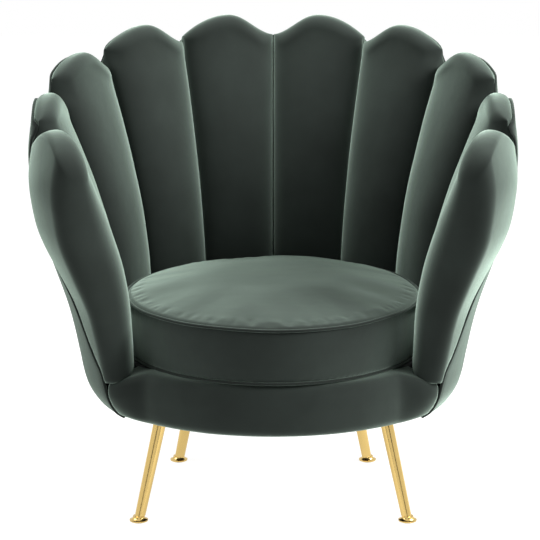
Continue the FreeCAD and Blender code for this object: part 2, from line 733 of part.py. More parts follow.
rail_cover = turned_body("rail_cover_body", [
    ((lip, bottom),),
    (rail_front(0.0, 0.01),),
    (rail_front(*RAIL_FACE_SHARES[2]), rail_front(*RAIL_FACE_SHARES[1])),
    (rail_front(*RAIL_FACE_SHARES[3]),),
    (rail_front(*RAIL_FACE_SHARES[5]), rail_front(*RAIL_FACE_SHARES[4])),
    ((rail_back + cell["rail_foam"] * 0.5, top),),
    ((hem, top),),
    ((hem, over),),
    ((clear, over),),
    ((clear, under),),
    ((lip, under),),
], Dim(cover_angle, repr(cover_angle)), -90)
place(rail_cover, y=cell["front_axis_y"])
groove_radius = size["welt_radius"] + size["soft_gap"]
grooves = [put_shape("groove_" + side_name, arm_welt(side, groove_radius)) for side_name, side in SIDES]
keep(cut("rail_cover_cut", rail_cover, group("grooves", grooves)), "front_rail_cover")

# The deck: woven straps, felt pad, and the black cloth under the frame

reach = cell["seat_bore"] + cell["web_bearing"]
straps = []
for index, share in enumerate(STRAP_SHARES):
    offset = cell["web_pitch"] * share
    higher = rail_high + cell["web_thickness"]
    strap_front = rail_back - cell["web_bearing"]
    straps.append(strap("strap_across_%d" % index, offset, False, reach, strap_front, rail_high))
    straps.append(strap("strap_along_%d" % index, offset, True, reach, strap_front, higher))
keep(group("webbing_group", straps), "webbing")

pad_radius = cell["seat_radius"] - cell["soft_gap"]
pad_front = hem - cell["soft_gap"]
keep(tub_ring("deck_pad_cut", pad_radius, None, cell["deck_pad"], cell["deck_low"], pad_front), "deck_pad")

cloth_low = floor - cell["soft_gap"] - cell["dust_cover"]
cloth_edge = cell["shell_foot_radius"] - cell["dust_cover"]
cloth_front = rail_back - cell["dust_cover"]
cloth = tub_ring("cloth", cloth_edge, None, cell["dust_cover"], cloth_low, cloth_front)
window = cell["plate_radius"] + cell["soft_gap"]
windows = [
    cylinder("window_" + name, window, cell["overrun"], spot[0], spot[1], bottom)
    for name, foot, spot, lean in leg_places()
]
keep(cut("cloth_cut", cloth, group("windows", windows)), "dust_cover")

# The legs, each with its plate, flared foot and glide

for name, foot, top_place, lean in leg_places():
    keep(leg("leg_cut_" + name, foot, top_place, lean), "leg_" + name)
    keep(foot_body("foot_body_" + name, foot), "foot_" + name)
    glide_radius = cell["foot_radius"] - cell["glide_inset"]
    keep(cylinder("glide_disc_" + name, glide_radius, cell["glide_height"], foot[0], foot[1]), "glide_" + name)
    plate = cylinder(
        "plate_disc_" + name, cell["plate_radius"], cell["plate_thickness"], top_place[0], top_place[1],
        floor - cell["plate_thickness"]
    )
    holes = [
        cylinder(
            "hole_%s_%d" % (name, index), cell["screw_radius"] + cell["screw_gap"], cell["overrun"] * 2,
            x, y, floor - cell["overrun"]
        )
        for index, (x, y) in enumerate(plate_points(top_place, screw_circle))
    ]
    keep(cut("plate_cut_" + name, plate, group("holes_" + name, holes)), "leg_plate_" + name)

# The loose cushion: core, panels, border, piping and zip

seat = cell["seat_top"] + cell["soft_gap"]
seam = cell["cushion_radius"] - cell["cushion_bulge"]
upper = seat + cell["cushion_border"]
lower = seat + cell["welt_radius"]
crown = upper + cell["cushion_crown"]
cloth_gap = cell["soft_gap"]
panel_edge = seam - cell["welt_radius"] - cloth_gap
band_top = upper - cell["welt_radius"] - cloth_gap
band_low = lower + cell["welt_radius"] + cloth_gap
band_middle = (band_top + band_low) / 2


def dome(drop, edge):
    """Steps from the cushion's shoulder over its crown to its axis, lowered by a drop."""
    rise = cell["cushion_crown"]
    points = [(edge * radius, upper + rise * height - drop) for radius, height in CROWN_STEP_SHARES]
    return [
        ((edge, upper + rise * CROWN_EDGE_SHARE - drop),),
        (points[1], points[0]),
        ((edge * CROWN_FLAT_SHARE, crown - drop), points[2]),
        ((NOTHING, crown - drop),),
    ]


skin = cell["cushion_skin"]


def panel_inside(radius_share, rise_share):
    """A point of the top panel's inside, by shares of its radius and of the crown's rise."""
    return (panel_edge * radius_share, upper + cell["cushion_crown"] * rise_share - skin)


top_panel = turned_body("cushion_top_body", [
    ((NOTHING, crown - skin),),
    ((panel_edge * CROWN_FLAT_SHARE, crown - skin),),
    (panel_inside(*CROWN_STEP_SHARES[1]), panel_inside(*CROWN_STEP_SHARES[2])),
    (panel_inside(1, CROWN_EDGE_SHARE), panel_inside(*CROWN_STEP_SHARES[0])),
] + dome(NOTHING, panel_edge))
keep(place(top_panel, y=cell["tub_axis_y"]), "cushion_top")

border = turned_body("cushion_border_body", [
    ((seam, band_low),),
    ((seam, band_top), (cell["cushion_radius"], band_middle)),
    ((seam - skin, band_top),),
    ((seam - skin, band_low), (cell["cushion_radius"] - skin, band_middle)),
])
keep(place(border, y=cell["tub_axis_y"]), "cushion_border")
keep(cylinder("cushion_base_disc", panel_edge, skin, y=cell["tub_axis_y"], z=seat), "cushion_base")

inner = seam - skin - cloth_gap
core_edge = panel_edge - cloth_gap
core = turned_body("cushion_core_body", [
    ((NOTHING, seat + skin + cloth_gap),),
    ((core_edge, seat + skin + cloth_gap),),
    ((core_edge, band_low),),
    ((inner, band_low),),
    ((inner, band_top), (cell["cushion_radius"] - skin - cloth_gap, band_middle)),
    ((core_edge, band_top),),
] + dome(skin + cloth_gap, core_edge))
keep(place(core, y=cell["tub_axis_y"]), "cushion_core")

for name, height in (("top", upper), ("base", lower)):
    piping = bind(document.addObject("Part::Torus", "welt_" + name), Radius1=seam, Radius2=cell["welt_radius"])
    keep(place(piping, y=cell["tub_axis_y"], z=height), "cushion_welt_" + name)

tape_low = band_middle - cell["zip_width"] / 2
tape_inside = cell["cushion_radius"] + cloth_gap
tape_outside = tape_inside + cell["zip_thickness"]
tape = turned_body("zip_tape_body", [
    ((tape_outside, tape_low),),
    ((tape_outside, tape_low + cell["zip_width"]),),
    ((tape_inside, tape_low + cell["zip_width"]),),
    ((tape_inside, tape_low),),
], cell["zip_angle"], 90)
keep(place(tape, y=cell["tub_axis_y"]), "zip_tape")

# The slider starts at the closed end of the zip, and its pull hangs from it.
slider_inside = tape_outside + cloth_gap
slider_angle = size["zip_angle"] / 2 - SLIDER_SETBACK
slider_turn = Rotation(Vector(0, 0, 1), -slider_angle)
slider_base = tub_point(slider_angle, slider_inside.value, 0)


def slider_box(name, width, thickness, height, inside, z):
    """A small block that stands off the zip tape at the slider's angle."""
    block = bind(document.addObject("Part::Box", name), Length=width, Width=thickness, Height=height)
    start = tub_point(slider_angle, inside.value, z.value) - slider_turn.multVec(Vector(width.value / 2, 0, 0))
    block.Placement = Placement(start, slider_turn)
    return block


slider_half = cell["zip_width"] / 2
slider = slider_box(
    "slider_block", cell["slider_length"], cell["slider_thickness"], cell["zip_width"], slider_inside, tape_low
)
keep(slider, "zip_slider")
pull_inside = slider_inside + cell["slider_thickness"]
pull = slider_box(
    "pull_block", cell["pull_width"], cell["pull_thickness"], cell["pull_length"], pull_inside,
    band_middle + slider_half / 2 - cell["pull_length"]
)
keep(pull, "zip_pull")

document.recompute()
for obj in document.Objects:
    if "Invalid" in obj.State or "Error" in obj.State:
        raise RuntimeError("%s can't be built: %s" % (obj.Name, obj.State))
for obj in finished:
    if obj.Shape.isNull() or not obj.Shape.isValid() or not obj.Shape.Solids:
        raise RuntimeError("%s has no sound solid" % obj.Label)

os.makedirs("parts", exist_ok=True)
for obj in finished:
    obj.Shape.exportStep("parts/%s.step" % obj.Label)
print("%d parts written" % len(finished))
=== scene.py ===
"""Looks of a scalloped tub chair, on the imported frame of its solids.

The chair faces -Y and stands on z = 0, in metres. Places round the tub are given by an angle from the back,
positive towards +X, a radius from the tub's upright axis, and a height.
"""

import math

import bmesh
import bpy
from mathutils import Matrix, Vector, noise


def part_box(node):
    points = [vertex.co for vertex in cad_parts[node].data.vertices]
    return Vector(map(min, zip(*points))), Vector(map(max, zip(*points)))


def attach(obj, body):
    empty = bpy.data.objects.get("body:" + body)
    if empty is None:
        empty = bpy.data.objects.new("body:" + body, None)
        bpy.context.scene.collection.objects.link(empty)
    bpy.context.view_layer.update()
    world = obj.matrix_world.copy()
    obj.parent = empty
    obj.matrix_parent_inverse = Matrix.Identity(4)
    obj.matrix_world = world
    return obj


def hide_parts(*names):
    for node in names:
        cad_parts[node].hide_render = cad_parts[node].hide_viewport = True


bl_info = {
    "name": "Scalloped tub chair",
    "version": (1, 0, 0),
    "blender": (4, 5, 0),
    "location": "3D View > Sidebar > Tub chair",
    "description": "Dresses the frame of a scalloped tub chair in velvet and brass",
    "category": "Object",
}

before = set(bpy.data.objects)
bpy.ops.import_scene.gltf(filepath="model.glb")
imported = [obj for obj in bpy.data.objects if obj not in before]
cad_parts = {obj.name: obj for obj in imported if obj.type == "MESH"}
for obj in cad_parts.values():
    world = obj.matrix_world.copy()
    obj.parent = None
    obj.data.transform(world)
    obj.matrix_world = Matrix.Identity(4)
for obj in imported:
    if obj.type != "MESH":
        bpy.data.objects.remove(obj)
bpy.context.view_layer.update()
BODY = "chair"
CUSHION_BODY = "seat_cushion"

SIDES = (("left", -1), ("right", 1))
PETALS = ("back", "rear", "wing", "side", "arm")
PETAL_ANGLE = 25.0


def middle_of(node):
    low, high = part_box(node)
    return (low + high) / 2


TUB_AXIS_Y = middle_of("cushion_base").y
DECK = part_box("petal_back_left")[0].z
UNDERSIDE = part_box("front_rail_cover")[0].z
SHELL_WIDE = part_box("outer_cover_side_right")[1].x
CUSHION_LOW, CUSHION_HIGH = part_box("cushion_border")
CUSHION_RADIUS = (CUSHION_HIGH.x - CUSHION_LOW.x) / 2
RAIL_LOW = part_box("front_rail_cover")[0]
# The rail bows forwards on a radius of its own, about an upright axis further back than the tub's.
FRONT_RADIUS = 0.390
FRONT_AXIS_Y = RAIL_LOW.y + FRONT_RADIUS
# The soft tops stand a little over the solids', which end in a flatter edge.
TOP_RISE = 0.004
TIPS = [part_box("petal_%s_left" % name)[1].z + TOP_RISE for name in PETALS]
# Bare space left between a soft piece and what it lies on
HAIR = 0.0005
# How much thinner than its room an outer cover's wall is
COVER_SLACK = 0.0014
# How far apart two covers stand at their seam, and how far their edges turn in there
COVER_SEAM = 0.0004
COVER_EDGE_TURN = 0.0016
# Webbing
STRAP_PITCH = 0.080
STRAP_WIDTH = 0.048
STRAP_WAVE = 0.0009


class TubChairSizes(bpy.types.PropertyGroup):
    """Sizes of the upholstery."""

    shell_narrow: bpy.props.FloatProperty(
        name="Shell at the deck",
        description="Outside radius of the shell level with the deck",
        default=SHELL_WIDE - 0.088,
        unit="LENGTH",
    )
    shell_foot: bpy.props.FloatProperty(
        name="Shell at its foot",
        description="Radius at which the outer cover turns under",
        default=SHELL_WIDE - 0.152,
        unit="LENGTH",
    )
    pad_low: bpy.props.FloatProperty(
        name="Petal depth, low",
        description="Depth of a petal from its crest to the back, level with the deck",
        default=0.077,
        unit="LENGTH",
    )
    pad_high: bpy.props.FloatProperty(
        name="Petal depth, high",
        description="Depth of a petal from its crest to the back, near its tip",
        default=0.064,
        unit="LENGTH",
    )
    groove_low: bpy.props.FloatProperty(
        name="Groove depth, low",
        description="What is left behind a groove level with the deck",
        default=0.050,
        unit="LENGTH",
    )
    groove_high: bpy.props.FloatProperty(
        name="Groove depth, high",
        description="What is left behind a groove at its top",
        default=0.022,
        unit="LENGTH",
    )
    cover: bpy.props.FloatProperty(
        name="Outer cover",
        description="Thickness of the velvet and wadding outside the shell",
        default=0.005,
        unit="LENGTH",
    )
    piping: bpy.props.FloatProperty(
        name="Piping",
        description="Radius of the piping",
        default=0.0030,
        unit="LENGTH",
    )
    strip_depth: bpy.props.FloatProperty(
        name="Strip depth",
        description="How far a groove's strip lies behind the groove's edge",
        default=0.0060,
        unit="LENGTH",
    )
    seam_gap: bpy.props.FloatProperty(
        name="Seam gap",
        description="Clear width from the middle of a groove to the petal on either side",
        default=0.0010,
        unit="LENGTH",
    )
    top_round: bpy.props.FloatProperty(
        name="Rounding of the tops",
        description="Height of the rounding at a petal's top",
        default=0.034,
        unit="LENGTH",
    )
    arm_bulge: bpy.props.FloatProperty(
        name="Arm bulge",
        description="How far an arm's rounded end swells out over its piping",
        default=0.009,
        unit="LENGTH",
    )
    arm_slant: bpy.props.FloatProperty(
        name="Arm slant",
        description="How far the foot of an arm slants down to its outside, over the end of the front rail",
        default=0.020,
        unit="LENGTH",
    )
    arm_droop: bpy.props.FloatProperty(
        name="Arm droop",
        description="How much lower an arm's rounded end starts than its notch at the back",
        default=0.050,
        unit="LENGTH",
    )
    rail_depth: bpy.props.FloatProperty(
        name="Rail depth",
        description="Depth of the front rail's upholstery behind its face",
        default=0.078,
        unit="LENGTH",
    )
    cushion_crown: bpy.props.FloatProperty(
        name="Cushion crown",
        description="Rise of the cushion's top over its piping",
        default=0.031,
        unit="LENGTH",
    )


class TubChairColours(bpy.types.PropertyGroup):
    """Colours of the materials."""

    velvet: bpy.props.FloatVectorProperty(
        name="Velvet",
        description="Colour of the velvet seen straight on",
        default=(0.0075, 0.0100, 0.0088),
        subtype="COLOR",
        size=3,
    )
    velvet_sheen: bpy.props.FloatVectorProperty(
        name="Velvet sheen",
        description="Colour of the pile where light grazes it",
        default=(0.72, 0.93, 0.79),
        subtype="COLOR",
        size=3,
    )
    brass: bpy.props.FloatVectorProperty(
        name="Brass",
        description="Colour of the legs and feet",
        default=(0.66, 0.47, 0.17),
        subtype="COLOR",
        size=3,
    )
    plywood: bpy.props.FloatVectorProperty(
        name="Plywood",
        description="Colour of the frame's raw birch plywood",
        default=(0.50, 0.34, 0.18),
        subtype="COLOR",
        size=3,
    )


# Tables: what stands at each share of the height from the deck to a petal's tip
LEVELS = (0.0, 0.20, 0.40, 0.60, 0.78, 0.925, 1.0)
OUTER_SHARES = tuple(zip(LEVELS, (0.0, 0.22, 0.545, 0.90, 1.0, 0.92, 0.87)))
CREST_SHARES = tuple(zip(LEVELS, (0.0, 0.02, 0.14, 0.40, 0.72, 1.0, 1.12)))
GROOVE_SHARES = tuple(zip(LEVELS, (0.0, 0.08, 0.25, 0.49, 0.75, 0.97, 1.0)))
# Under the deck the outer cover rolls in: shares of the height over the underside and of the radius.
ROLL_SHARES = ((0.0, 0.0), (0.05, 0.27), (0.19, 0.57), (0.52, 0.85), (1.0, 1.0))
# The rail's outline, as shares of its depth behind the face and of its height
RAIL_SHARES = (
    (0.0, 0.47, 0.0), (0.12, 0.21, 0.01), (0.20, 0.07, 0.06), (0.28, 0.01, 0.16), (0.38, 0.0, 0.32),
    (0.48, 0.0, 0.52), (0.57, 0.02, 0.72), (0.65, 0.06, 0.88), (0.73, 0.17, 0.98), (0.83, 0.36, 1.0),
    (0.94, 1.0, 1.0), (1.0, 1.0, 0.90),
)
RAIL_BACKS = [(step, back) for step, back, rise in RAIL_SHARES]
RAIL_RISES = [(step, rise) for step, back, rise in RAIL_SHARES]
# How high the notch between two petals is, as a share of the height from the deck to the tip
NOTCH_SHARE = 0.925
# Where an arm's piping runs, as shares of the height over the underside and parts of the arm's half width
ARM_SEAM_SHARES = (
    (0.0, 0.64), (0.10, 0.68), (0.18, 0.60), (0.215, 0.44), (0.29, 0.20), (0.365, 0.04), (0.42, -0.04),
    (0.59, -0.68), (0.74, -0.93), (1.0, -0.96),
)
ARM_BULGE_SHARES = ((0.0, 0.0), (0.36, 0.0), (0.60, 0.9), (0.80, 1.0), (0.93, 0.5), (1.0, 0.0))
# An arm's outer cover ends at this share of the height, and its round end starts at this part of the half width.
ARM_COVER_TOP = 0.72
ARM_WRAP_SHARE = 0.70
# From this part of its half width a petal's side is drawn in, where it stands bare over the next petal.
BARE_SIDE_START = 0.75
BARE_SIDE_RISE = 0.020
# Lower values spread a petal's crown wider
CROWN_FULLNESS = 0.92
ARM = PETALS.index("arm")

# The camera in pixels of the photograph's frame, then its elevation in degrees and distance in metres
PHOTO_SIDE = 540
FOCAL_PIXELS = 2369
VIEW_CENTRE = (273.2, 267.29)
CAMERA_RISE = 13.7
CAMERA_DISTANCE = 4.5


def sizes():
    return bpy.context.scene.tub_chair_sizes


def colours():
    return bpy.context.scene.tub_chair_colours


def between(low, high, share):
    return low + (high - low) * share


def eased(table, x):
    """A smooth curve through the pairs of a table, that never swings past them."""
    if x <= table[0][0]:
        return table[0][1]
    if x >= table[-1][0]:
        return table[-1][1]
    slopes = [(b[1] - a[1]) / (b[0] - a[0]) for a, b in zip(table, table[1:])]
    for index, (a, b) in enumerate(zip(table, table[1:])):
        if x <= b[0]:
            step = b[0] - a[0]
            share = (x - a[0]) / step
            before = slopes[max(index - 1, 0)]
            after = slopes[min(index + 1, len(slopes) - 1)]
            here = slopes[index]
            start = 2 * before * here / (before + here) if before * here > 0 else 0.0
            end = 2 * here * after / (here + after) if here * after > 0 else 0.0
            square, cube = share * share, share * share * share
            return (
                a[1] * (2 * cube - 3 * square + 1)
                + b[1] * (3 * square - 2 * cube)
                + start * step * (cube - 2 * square + share)
                + end * step * (cube - square)
            )
    return table[-1][1]


def tub_spot(angle, radius, height):
    turn = math.radians(angle)
    return Vector((radius * math.sin(turn), TUB_AXIS_Y + radius * math.cos(turn), height))


def outer_radius(row, height):
    """Outside radius of the shell behind one petal."""
    size = sizes()
    if height < DECK:
        share = (height - UNDERSIDE) / (DECK - UNDERSIDE)
        return between(size.shell_foot, size.shell_narrow, eased(ROLL_SHARES, share))
    share = (height - DECK) / (TIPS[row] - DECK)
    return between(size.shell_narrow, SHELL_WIDE, eased(OUTER_SHARES, share))


def scallop(row, part):
    """Height of a petal's top at a part of its half width, as a share of its rise over the notch."""
    bow = math.cos(min(abs(part), 1.0) * math.pi / 2)
    if part < 0:
        bell = (1 + math.cos(part * math.pi)) / 2
        return between(bow, bell, 0.7)
    if row == ARM:
        return math.sqrt(max(1 - part * part, 0.0))
    return bow ** 0.75


def top_height(row, part):
    notch = between(DECK, TIPS[row], NOTCH_SHARE)
    if row == ARM and part > 0:
        notch -= sizes().arm_droop
    return between(notch, TIPS[row], scallop(row, part))


def front_radius(row, part, hollow, height):
    """Radius of a petal's front, by how far it is from the crest to the groove."""
    size = sizes()
    share = (height - DECK) / (TIPS[row] - DECK)
    crest_low = size.shell_narrow - size.pad_low
    crest = between(crest_low, SHELL_WIDE - size.pad_high, eased(CREST_SHARES, share))
    if row == ARM and part > 0:
        return between(crest, between(crest, outer_radius(row, height), 0.5), hollow)
    groove_low = size.shell_narrow - size.groove_low
    groove = between(groove_low, SHELL_WIDE - size.groove_high, eased(GROOVE_SHARES, share))
    return between(crest, groove, hollow)


def arm_seam(height):
    """The part of an arm's half width where its piping runs."""
    return eased(ARM_SEAM_SHARES, (height - UNDERSIDE) / (TIPS[ARM] - UNDERSIDE))


def arm_seam_angle(height):
    """The angle from the chair's back at which an arm's piping runs."""
    return (ARM + 0.5 + arm_seam(height) / 2) * PETAL_ANGLE


def back_radius(row, part, height):
    """Radius of a petal's back, under its outer cover, or the bare outside of an arm's rounded end."""
    size = sizes()
    outer = outer_radius(row, height)
    covered = outer - size.cover - HAIR
    seam = arm_seam(height)
    if row != ARM or part < seam:
        return covered
    bulge = size.arm_bulge * eased(ARM_BULGE_SHARES, (height - UNDERSIDE) / (TIPS[ARM] - UNDERSIDE))
    swell = math.sin(math.pi * min((part - seam) / (1.2 - seam), 1.0)) ** 0.6
    bare = between(covered, outer + bulge * swell, min((part - seam) / 0.08, 1.0))
    if part < ARM_WRAP_SHARE:
        return bare
    turn = (part - ARM_WRAP_SHARE) / (1 - ARM_WRAP_SHARE)
    middle = between(front_radius(row, 0.0, 0.0, height), outer, 0.5)
    return between(middle, bare, math.sqrt(max(1 - turn * turn, 0.0)))


def bare_side(row, part, height):
    """How far a petal's side is drawn to the middle of its depth, where it stands bare over the next one."""
    if row == ARM or part <= BARE_SIDE_START:
        return 0.0
    above = height - between(DECK, TIPS[row + 1], NOTCH_SHARE)
    turn = min((part - BARE_SIDE_START) / (1 - BARE_SIDE_START), 1.0)
    return (1 - math.sqrt(1 - turn * turn)) * min(max(above / BARE_SIDE_RISE, 0.0), 1.0)


# How far up its front and round its top a petal is, as shares of the way over it
FRONT_SHARE, ROLL_SHARE = 0.40, 0.60


def petal_spot(row, side, across, up):
    """A place on a petal: across it from -1 to 1, and up its front, over and down its back from 0 to 1."""
    size = sizes()
    turn = across * math.pi / 2
    part = math.copysign(abs(math.sin(turn)) ** CROWN_FULLNESS, across)
    hollow = 1 - max(math.cos(turn), 0.0)
    top = top_height(row, part)

    def faces_at(height):
        front = front_radius(row, part, hollow, height)
        back = back_radius(row, part, height)
        drawn = bare_side(row, part, height)
        middle = between(front, back, 0.5)
        return between(front, middle, drawn), between(back, middle, drawn)

    front, back = faces_at(top)
    ahead = min(size.top_round, 0.9 * (back - front))
    behind = min(size.top_round * 0.4, 0.45 * (back - front))
    low = DECK + HAIR
    if row == ARM and part > 0:
        share = between(0.0, 0.5, hollow) if up <= FRONT_SHARE else between(1.0, 0.5, hollow)
        low -= (0.006 + (size.arm_slant + 0.006) * share) * min(part * 2, 1.0)
    if up <= FRONT_SHARE:
        height = between(low, top - ahead, up / FRONT_SHARE)
        radius = faces_at(height)[0]
    elif up <= ROLL_SHARE:
        roll = (up - FRONT_SHARE) / (ROLL_SHARE - FRONT_SHARE) * math.pi
        start = faces_at(top - ahead)[0]
        end = faces_at(top - behind)[1]
        radius = between(start, end, (1 - math.cos(roll)) / 2)
        rise = ahead if roll < math.pi / 2 else behind
        height = top - rise + rise * math.sin(roll)
    else:
        height = between(top - behind, low, (up - ROLL_SHARE) / (1 - ROLL_SHARE))
        radius = faces_at(height)[1]
    seam = math.degrees(size.seam_gap / radius)
    angle = (row + 0.5) * PETAL_ANGLE + part * (PETAL_ANGLE / 2 - seam)
    return tub_spot(side * angle, radius, height)


def cover_spot(row, side, across, up):
    """A place on the outside of a petal's outer cover, across it from -1 to 1 and up it from 0 to 1."""
    size = sizes()
    part = across
    top = top_height(row, part) - size.top_round * 0.3
    if row == ARM:
        top = between(UNDERSIDE, TIPS[ARM], ARM_COVER_TOP)
    height = between(UNDERSIDE, top, up ** 1.35)
    if row == ARM:
        part = between(-1.0, arm_seam(height), (across + 1) / 2)
    radius = outer_radius(row, height)
    depth = radius - front_radius(row, part, 1 - math.sqrt(1 - min(part * part, 1.0)), height)
    radius -= depth / 2 * bare_side(row, part, height)
    middle = (row + 0.5) * PETAL_ANGLE
    seam = math.degrees(COVER_SEAM / radius)
    angle = middle + part * (PETAL_ANGLE / 2) - seam * across
    return tub_spot(side * angle, radius - COVER_EDGE_TURN * abs(across) ** 14, height)


def rail_spot(across, up):
    """A place on the front rail: along it from -1 to 1, and round its outline from 0 to 1."""
    size = sizes()
    back = eased(RAIL_BACKS, up)
    rise = eased(RAIL_RISES, up)
    # From 0 in the middle to 1 at either end, where the rail meets the shell
    blend = min(max((abs(across) - 0.78) / 0.22, 0.0), 1.0)
    blend = blend * blend * (3 - 2 * blend)
    inset = back * size.rail_depth * (1 + 0.4 * min(max((abs(across) - 0.4) / 0.4, 0.0), 1.0))
    height = between(UNDERSIDE + 0.0003, DECK + 0.0002, rise)
    height -= size.arm_slant * blend * (1 - back) * max(rise * 2 - 1, 0.0)
    shell = outer_radius(ARM, height)
    arm_angle = arm_seam_angle(height) + math.degrees(size.piping * 1.1 / shell)
    corner = tub_spot(arm_angle, shell, height)
    end = math.atan2(corner.x, FRONT_AXIS_Y - corner.y)
    turn = end * across
    # How far the shell's outside is from the front axis in this direction
    offset = FRONT_AXIS_Y - TUB_AXIS_Y
    along = offset * math.cos(turn)
    to_shell = along + math.sqrt(shell * shell - offset * offset + along * along)
    radius = between(FRONT_RADIUS, to_shell, blend) - inset
    return Vector((radius * math.sin(turn), FRONT_AXIS_Y - radius * math.cos(turn), height))


def new_object(name, mesh, material):
    made = bpy.data.objects.new(name, mesh)
    bpy.context.scene.collection.objects.link(made)
    made.data.materials.append(material)
    return made


def finish_bmesh(work, name):
    bmesh.ops.recalc_face_normals(work, faces=work.faces)
    for face in work.faces:
        face.smooth = True
    mesh = bpy.data.meshes.new(name)
    work.to_mesh(mesh)
    work.free()
    return mesh


def draped_grid(across, up, place, closed=False):
    """A grid whose corners are laid where a function of its two shares says.

    A closed one has its first and last rows bridged and its two ends filled.
    """
    work = bmesh.new()
    bmesh.ops.create_grid(work, x_segments=across, y_segments=up, size=1.0)
    rows = [edge for edge in work.edges if all(abs(abs(vert.co.y) - 1) < 0.0001 for vert in edge.verts)]
    for vert in work.verts:
        vert.co = place(vert.co.x, (vert.co.y + 1) / 2)
    if closed:
        bmesh.ops.bridge_loops(work, edges=rows)
        bmesh.ops.remove_doubles(work, verts=work.verts, dist=0.0002)
        bmesh.ops.holes_fill(work, edges=[edge for edge in work.edges if edge.is_boundary], sides=0)
    return work


def rough(spot, scale, depth):
    """Slight unevenness of a stuffed surface."""
    return noise.noise(spot * scale) * depth


def thickened(made, thickness):
    """Gives a sheet its thickness, inwards from what it was drawn as."""
    wall = made.modifiers.new("Wall", "SOLIDIFY")
    wall.thickness = thickness
    wall.offset = -1.0
    return made


def subdivided(made):
    modifier = made.modifiers.new("Smooth", "SUBSURF")
    modifier.levels = modifier.render_levels = 1
    return made


def stuffed(made, held, pressure, reach):
    """Blows a closed cover up as cloth, held at its seams, and keeps what it becomes.

    No point ends up further than reach from where it was.
    """
    cells = made.modifiers.new("Cells", "REMESH")
    cells.mode = "VOXEL"
    cells.voxel_size = 0.0055
    cells.use_smooth_shade = True
    keep_evaluated(made)
    start = [vert.co.copy() for vert in made.data.vertices]
    seams = made.vertex_groups.new(name="seams")
    seams.add([index for index, spot in enumerate(start) if held(spot)], 1.0, "REPLACE")
    filling = made.modifiers.new("Filling", "CLOTH")
    cloth = filling.settings
    cloth.quality = 6
    cloth.mass = 0.25
    cloth.tension_stiffness = 12.0
    cloth.compression_stiffness = 12.0
    cloth.bending_stiffness = 0.6
    cloth.use_pressure = True
    cloth.uniform_pressure_force = pressure
    cloth.vertex_group_mass = "seams"
    cloth.effector_weights.gravity = 0.0
    filling.point_cache.frame_start = 1
    filling.point_cache.frame_end = 20
    for step in range(1, 21):
        bpy.context.scene.frame_set(step)
    keep_evaluated(made)
    bpy.context.scene.frame_set(1)
    for vert, before in zip(made.data.vertices, start):
        moved = vert.co - before
        if moved.length > reach:
            vert.co = before + moved * (reach / moved.length)
    return made


def smoothed(made, times, chosen):
    """Eases the wrinkles out of the part of a mesh that a test of its places chooses."""
    work = bmesh.new()
    work.from_mesh(made.data)
    loose = [vert for vert in work.verts if chosen(vert.co)]
    for _ in range(times):
        bmesh.ops.smooth_vert(work, verts=loose, factor=0.5, use_axis_x=True, use_axis_y=True, use_axis_z=True)
    work.to_mesh(made.data)
    work.free()
    return made


def keep_evaluated(made):
    """Makes what the modifiers show the object's own mesh."""
    graph = bpy.context.evaluated_depsgraph_get()
    mesh = bpy.data.meshes.new_from_object(made.evaluated_get(graph))
    made.modifiers.clear()
    made.data = mesh


def piping_along(name, points, radius, material, closed=False):
    """A round cord of piping through points."""
    curve = bpy.data.curves.new(name, "CURVE")
    curve.dimensions = "3D"
    curve.bevel_depth = radius
    curve.bevel_resolution = 3
    curve.use_fill_caps = not closed
    spline = curve.splines.new("NURBS")
    spline.points.add(len(points) - 1)
    for target, point in zip(spline.points, points):
        target.co = (*point, 1.0)
    spline.order_u = 3
    spline.use_endpoint_u = not closed
    spline.use_cyclic_u = closed
    spline.resolution_u = 4
    made = bpy.data.objects.new(name, curve)
    bpy.context.scene.collection.objects.link(made)
    curve.materials.append(material)
    return made


# Materials


def node_material(name):
    """A new material with its node tree and shader, or a finished one and None twice."""
    material = bpy.data.materials.get(name)
    if material:
        return material, None, None
    material = bpy.data.materials.new(name)
    material.use_nodes = True
    tree = material.node_tree
    shader = tree.nodes["Principled BSDF"]
    return material, tree, shader


def noise_node(tree, scale, detail, source, roughness=0.5):
    made = tree.nodes.new("ShaderNodeTexNoise")
    made.inputs["Scale"].default_value = scale
    made.inputs["Detail"].default_value = detail
    made.inputs["Roughness"].default_value = roughness
    tree.links.new(source, made.inputs["Vector"])
    return made


def ramp_node(tree, source, stops):
    """A blend between two colours, each given with where it stands."""
    made = tree.nodes.new("ShaderNodeValToRGB")
    for element, (position, colour) in zip(made.color_ramp.elements, stops):
        element.position = position
        element.color = (*colour, 1)
    tree.links.new(source, made.inputs["Fac"])
    return made


def bump_node(tree, height, strength, distance, after=None):
    made = tree.nodes.new("ShaderNodeBump")
    made.inputs["Strength"].default_value = strength
    made.inputs["Distance"].default_value = distance
    tree.links.new(height, made.inputs["Height"])
    if after:
        tree.links.new(after.outputs["Normal"], made.inputs["Normal"])
    return made


